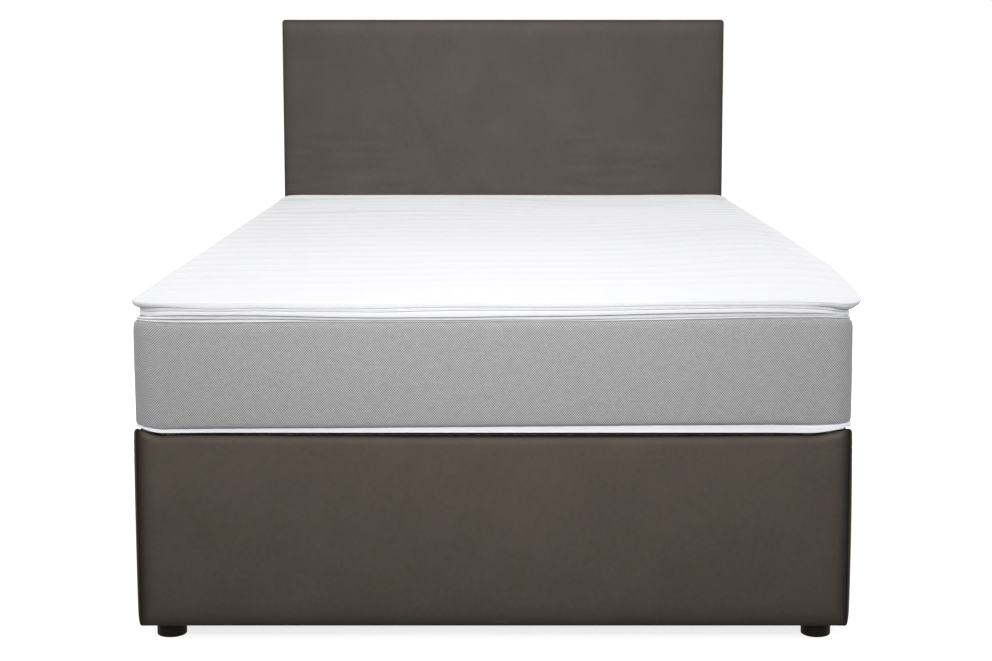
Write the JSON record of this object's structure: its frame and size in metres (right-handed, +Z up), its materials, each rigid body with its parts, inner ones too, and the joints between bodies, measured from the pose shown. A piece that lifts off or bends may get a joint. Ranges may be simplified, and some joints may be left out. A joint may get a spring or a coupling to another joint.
{
  "type": "box spring bed",
  "caption": "Boxed sprung base on low round feet with a bolted upholstered headboard, a lift-off pocket spring mattress and a lift-off quilted zipped topper.",
  "frame": {"origin": "on the floor, under the middle of the whole bed", "axes": "+Y from the foot end to the headboard, +X to the right as seen from the foot end, +Z up"},
  "size_m": [1.214, 2.0672, 1.06],
  "materials": {
    "upholstery": "soft matt grained faux leather, dark brown grey",
    "black_cloth": "thin non-woven cloth, matt",
    "pine": "planed, unfinished",
    "board": "chipboard, unfinished",
    "zinc_steel": "zinc plated",
    "zip_metal": "white lacquered",
    "foot_plastic": "black, slightly glossy",
    "border_weave": "grey fine bird's eye weave",
    "white_jersey": "white knitted ticking",
    "zip_tape": "white woven tape with coil teeth",
    "pocket_cloth": "white non-woven, with steel springs inside",
    "felt": "grey recycled felt",
    "foam": "cream polyurethane foam"
  },
  "bodies": {
    "base": {"base_cover_foot": "upholstery", "base_cover_head": "upholstery", "base_cover_left": "upholstery", "base_cover_right": "upholstery", "base_dust_cloth": "black_cloth", "base_edge_foam": "foam", "base_felt_pad": "felt", "base_foam_pad": "foam", "base_side_padding": "foam", "base_spring_unit": "pocket_cloth", "base_top_cloth": "black_cloth", "corner_block_foot_left": "pine", "corner_block_foot_right": "pine", "corner_block_head_left": "pine", "corner_block_head_right": "pine", "cross_slat_1": "pine", "cross_slat_2": "pine", "cross_slat_3": "pine", "cross_slat_4": "pine", "cross_slat_5": "pine", "cross_slat_6": "pine", "cross_slat_7": "pine", "cross_slat_8": "pine", "foot_centre": "foot_plastic", "foot_foot_left": "foot_plastic", "foot_foot_right": "foot_plastic", "foot_head_left": "foot_plastic", "foot_head_right": "foot_plastic", "foot_screw_centre": "zinc_steel", "foot_screw_foot_left": "zinc_steel", "foot_screw_foot_right": "zinc_steel", "foot_screw_head_left": "zinc_steel", "foot_screw_head_right": "zinc_steel", "frame_centre_beam": "pine", "frame_rail_foot": "pine", "frame_rail_head": "pine", "frame_rail_left": "pine", "frame_rail_right": "pine", "headboard_back_cloth": "black_cloth", "headboard_board": "board", "headboard_bolt_left": "zinc_steel", "headboard_bolt_right": "zinc_steel", "headboard_cover": "upholstery", "headboard_foam": "foam", "headboard_nut_left": "zinc_steel", "headboard_nut_right": "zinc_steel"},
    "mattress": {"mattress_border": "border_weave", "mattress_bottom_cloth": "white_jersey", "mattress_bottom_foam": "foam", "mattress_edge_foam": "foam", "mattress_spring_core": "pocket_cloth", "mattress_top_cloth": "white_jersey", "mattress_top_foam": "foam"},
    "topper": {"topper_cover_bottom": "white_jersey", "topper_cover_top": "white_jersey", "topper_foam": "foam", "topper_zip_lower": "zip_tape", "topper_zip_upper": "zip_tape"},
    "slider": {"zip_slider": "zip_metal"},
    "pull": {"zip_pull": "zip_metal"}
  },
  "joints": [
    {"name": "mattress_lift", "type": "slide", "parent": "base", "child": "mattress", "axis": [0, 0, 1], "range_m": [0, 0.72]},
    {"name": "topper_lift", "type": "slide", "parent": "mattress", "child": "topper", "axis": [0, 0, 1], "range_m": [0, 0.54]},
    {"name": "zip_run", "type": "slide", "parent": "topper", "child": "slider", "axis": [0, -1, 0], "range_m": [0, 1.852]},
    {"name": "pull_swing", "type": "hinge", "parent": "slider", "child": "pull", "pos_m": [0.5953, 0.8954, 0.5612], "axis": [0, 0, -1], "range_deg": [0, 175]}
  ]
}
